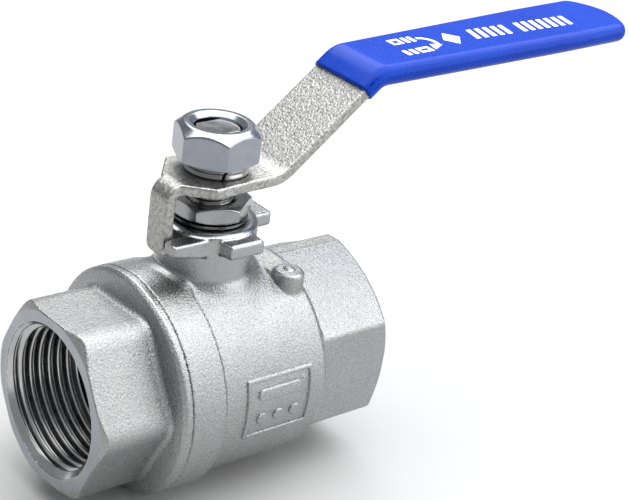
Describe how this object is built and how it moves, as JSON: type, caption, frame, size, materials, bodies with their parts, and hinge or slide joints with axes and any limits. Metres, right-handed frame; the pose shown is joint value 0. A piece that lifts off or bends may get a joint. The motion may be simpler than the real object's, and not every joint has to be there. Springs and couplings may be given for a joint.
{
  "type": "ball valve",
  "caption": "Two-piece threaded ball valve with hexagon ends, stem packing and a bent quarter-turn lever with a dipped grip sleeve.",
  "frame": {"origin": "centre of the inlet thread's mouth, where its lead-in cone ends", "axes": "+X along the pipe axis from inlet to outlet, +Z along the stem towards the handle, +Y across"},
  "size_m": [0.1537, 0.0504, 0.0951],
  "materials": {
    "cast_body": "satin shot-blasted stainless casting",
    "steel": "tumbled stainless",
    "ball_steel": "polished stainless",
    "zinc": "bright zinc plate",
    "ptfe": "white PTFE",
    "grip": "glossy dipped vinyl"
  },
  "bodies": {
    "shell": {"body": "cast_body", "end_cap": "cast_body", "body_gasket": "ptfe", "seat_inlet": "ptfe", "seat_outlet": "ptfe", "thrust_washer": "ptfe", "packing_bottom": "ptfe", "packing_mid_lower": "ptfe", "packing_mid_upper": "ptfe", "packing_top": "ptfe", "gland_follower": "steel"},
    "ball": {"ball": "ball_steel"},
    "handle": {"stem": "steel", "disc_washer_lower": "steel", "disc_washer_upper": "steel", "gland_nut": "steel", "lever": "steel", "grip_sleeve": "grip", "lock_washer": "steel", "handle_nut": "zinc"}
  },
  "joints": [
    {"name": "handle_turn", "type": "hinge", "parent": "shell", "child": "handle", "pos_m": [0.03515, 0, 0.03], "axis": [0, 0, 1], "range_deg": [-90, 0]},
    {"name": "ball_turn", "type": "hinge", "parent": "shell", "child": "ball", "pos_m": [0.03515, 0, 0], "axis": [0, 0, 1], "range_deg": [-90, 0]}
  ],
  "couplings": [
    {"joint": "ball_turn", "follows": "handle_turn", "ratio": 1}
  ]
}
